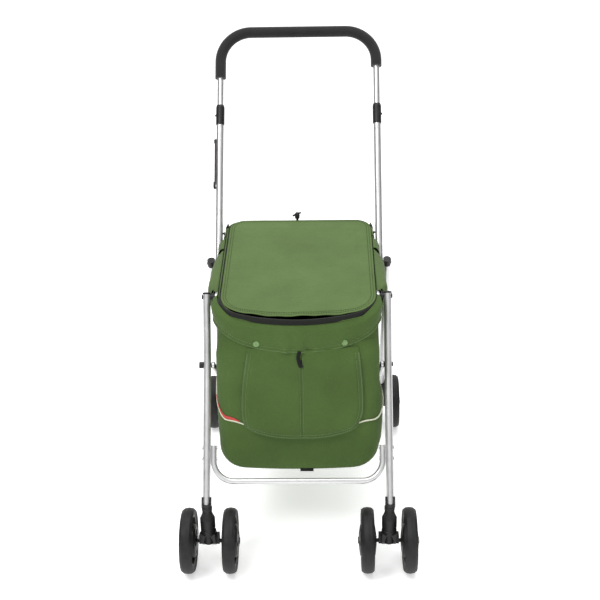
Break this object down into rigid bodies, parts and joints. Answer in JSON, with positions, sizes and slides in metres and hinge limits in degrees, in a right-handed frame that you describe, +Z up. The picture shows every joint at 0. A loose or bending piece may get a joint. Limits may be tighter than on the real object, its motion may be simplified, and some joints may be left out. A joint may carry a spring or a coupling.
{
  "type": "folding pet stroller trolley",
  "caption": "Folding four-wheel trolley with a closed fabric bag on an aluminium frame, twin front casters, braked rear wheels and a height-adjustable foam-gripped handle.",
  "frame": {"origin": "on the floor, under the middle of the whole trolley", "axes": "+X right seen from the front, +Y to the rear (handle side), +Z up"},
  "size_m": [0.4986, 0.778, 1.0065],
  "materials": {
    "silver_tube": "satin anodised tube with fine draw lines",
    "steel": "zinc-plated rivets and axles",
    "black_plastic": "moulded, fine grained, slight sheen",
    "tyre": "solid foamed tyre, matt",
    "foam": "closed-cell foam grip, fine pores",
    "green_fabric": "coated polyester plain weave",
    "binding": "black ribbed binding tape",
    "snap": "moulded snap cap",
    "board": "fabric-faced stiffener board"
  },
  "bodies": {
    "front_frame": {"front_leg_left": "silver_tube", "front_leg_right": "silver_tube", "cross_bar": "silver_tube", "cross_bar_rivets": "steel", "leg_top_caps": "black_plastic", "brace_bolts": "black_plastic", "rail_bolts": "black_plastic", "caster_sockets": "black_plastic", "bag_shell": "green_fabric", "bag_rim": "binding", "bag_board": "board", "front_pocket": "green_fabric", "rear_toggle": "binding"},
    "cover": {"bag_cover": "green_fabric"},
    "flap": {"front_flap": "green_fabric", "flap_snaps": "snap"},
    "caster_left": {"caster_fork_left": "black_plastic", "caster_axle_left": "steel"},
    "front_wheel_left_outer": {"front_tyre_left_outer": "tyre", "front_rim_left_outer": "black_plastic"},
    "front_wheel_left_inner": {"front_tyre_left_inner": "tyre", "front_rim_left_inner": "black_plastic"},
    "rear_wheel_left": {"rear_tyre_left": "tyre", "rear_rim_left": "black_plastic"},
    "brake_left": {"brake_pedal_left": "black_plastic"},
    "height_button_left": {"height_button_left": "black_plastic"},
    "caster_right": {"caster_fork_right": "black_plastic", "caster_axle_right": "steel"},
    "front_wheel_right_outer": {"front_tyre_right_outer": "tyre", "front_rim_right_outer": "black_plastic"},
    "front_wheel_right_inner": {"front_tyre_right_inner": "tyre", "front_rim_right_inner": "black_plastic"},
    "rear_wheel_right": {"rear_tyre_right": "tyre", "rear_rim_right": "black_plastic"},
    "brake_right": {"brake_pedal_right": "black_plastic"},
    "height_button_right": {"height_button_right": "black_plastic"},
    "braces": {"brace_left": "silver_tube", "brace_right": "silver_tube"},
    "rails": {"rail_left": "silver_tube", "rail_right": "silver_tube", "rail_sleeve_left": "green_fabric", "rail_sleeve_right": "green_fabric"},
    "rear_frame": {"rear_leg_left": "silver_tube", "rear_leg_right": "silver_tube", "rear_foot_left": "black_plastic", "rear_foot_right": "black_plastic", "rear_axle": "steel", "rear_leg_caps": "black_plastic", "back_pivot_pins": "steel"},
    "lower_handle": {"handle_tube_left": "silver_tube", "handle_tube_right": "silver_tube", "handle_collar_left": "black_plastic", "handle_collar_right": "black_plastic", "bag_clips": "black_plastic", "hook_pin": "black_plastic"},
    "upper_handle": {"handle_bar": "silver_tube", "handle_grip": "foam"},
    "fold_hook": {"fold_hook": "black_plastic"}
  },
  "joints": [
    {"name": "fold", "type": "hinge", "parent": "front_frame", "child": "braces", "pos_m": [0, -0.178, 0.405], "axis": [-1, 0, 0], "range_deg": [0, 62]},
    {"name": "rear_leg_fold", "type": "hinge", "parent": "braces", "child": "rear_frame", "pos_m": [0, 0.275, 0.085], "axis": [-1, 0, 0], "range_deg": [-25.3, 0]},
    {"name": "rail_fold", "type": "hinge", "parent": "front_frame", "child": "rails", "pos_m": [0, -0.126, 0.537], "axis": [-1, 0, 0], "range_deg": [0, 91.2]},
    {"name": "handle_fold", "type": "hinge", "parent": "rear_frame", "child": "lower_handle", "pos_m": [0, 0.082, 0.533], "axis": [1, 0, 0], "range_deg": [0, 45]},
    {"name": "handle_height", "type": "slide", "parent": "lower_handle", "child": "upper_handle", "axis": [0, 0.5396, 0.8419], "range_m": [-0.06, 0]},
    {"name": "caster_swivel_left", "type": "hinge", "parent": "front_frame", "child": "caster_left", "pos_m": [-0.186, -0.334, 0.13], "axis": [0, 0, 1], "continuous": true},
    {"name": "front_wheel_left_outer_spin", "type": "hinge", "parent": "caster_left", "child": "front_wheel_left_outer", "pos_m": [-0.2295, -0.32, 0.068], "axis": [1, 0, 0], "continuous": true},
    {"name": "front_wheel_left_inner_spin", "type": "hinge", "parent": "caster_left", "child": "front_wheel_left_inner", "pos_m": [-0.1425, -0.32, 0.068], "axis": [1, 0, 0], "continuous": true},
    {"name": "rear_wheel_left_spin", "type": "hinge", "parent": "rear_frame", "child": "rear_wheel_left", "pos_m": [-0.231, 0.285, 0.068], "axis": [1, 0, 0], "continuous": true},
    {"name": "brake_left_press", "type": "hinge", "parent": "rear_frame", "child": "brake_left", "pos_m": [-0.1975, 0.31, 0.092], "axis": [-1, 0, 0], "range_deg": [0, 14]},
    {"name": "height_button_left_press", "type": "slide", "parent": "lower_handle", "child": "height_button_left", "axis": [1, 0, 0], "range_m": [0, 0.001], "stiffness_N_per_m": 200},
    {"name": "caster_swivel_right", "type": "hinge", "parent": "front_frame", "child": "caster_right", "pos_m": [0.186, -0.334, 0.13], "axis": [0, 0, 1], "continuous": true},
    {"name": "front_wheel_right_outer_spin", "type": "hinge", "parent": "caster_right", "child": "front_wheel_right_outer", "pos_m": [0.2295, -0.32, 0.068], "axis": [1, 0, 0], "continuous": true},
    {"name": "front_wheel_right_inner_spin", "type": "hinge", "parent": "caster_right", "child": "front_wheel_right_inner", "pos_m": [0.1425, -0.32, 0.068], "axis": [1, 0, 0], "continuous": true},
    {"name": "rear_wheel_right_spin", "type": "hinge", "parent": "rear_frame", "child": "rear_wheel_right", "pos_m": [0.231, 0.285, 0.068], "axis": [1, 0, 0], "continuous": true},
    {"name": "brake_right_press", "type": "hinge", "parent": "rear_frame", "child": "brake_right", "pos_m": [0.1975, 0.31, 0.092], "axis": [-1, 0, 0], "range_deg": [0, 14]},
    {"name": "height_button_right_press", "type": "slide", "parent": "lower_handle", "child": "height_button_right", "axis": [-1, 0, 0], "range_m": [0, 0.001], "stiffness_N_per_m": 200},
    {"name": "cover_open", "type": "hinge", "parent": "front_frame", "child": "cover", "pos_m": [0, 0.164, 0.60393], "axis": [1, 0, 0], "range_deg": [-90, 0]},
    {"name": "flap_lift", "type": "hinge", "parent": "front_frame", "child": "flap", "pos_m": [0, -0.236, 0.5204], "axis": [1, 0, 0], "range_deg": [-70, 0]},
    {"name": "fold_hook_swing", "type": "hinge", "parent": "lower_handle", "child": "fold_hook", "pos_m": [-0.191, 0.23526, 0.7721], "axis": [1, 0, 0], "range_deg": [-60, 60]}
  ],
  "couplings": [
    {"joint": "rear_leg_fold", "follows": "fold", "ratio": -0.4065},
    {"joint": "rail_fold", "follows": "fold", "ratio": 1.4688}
  ]
}
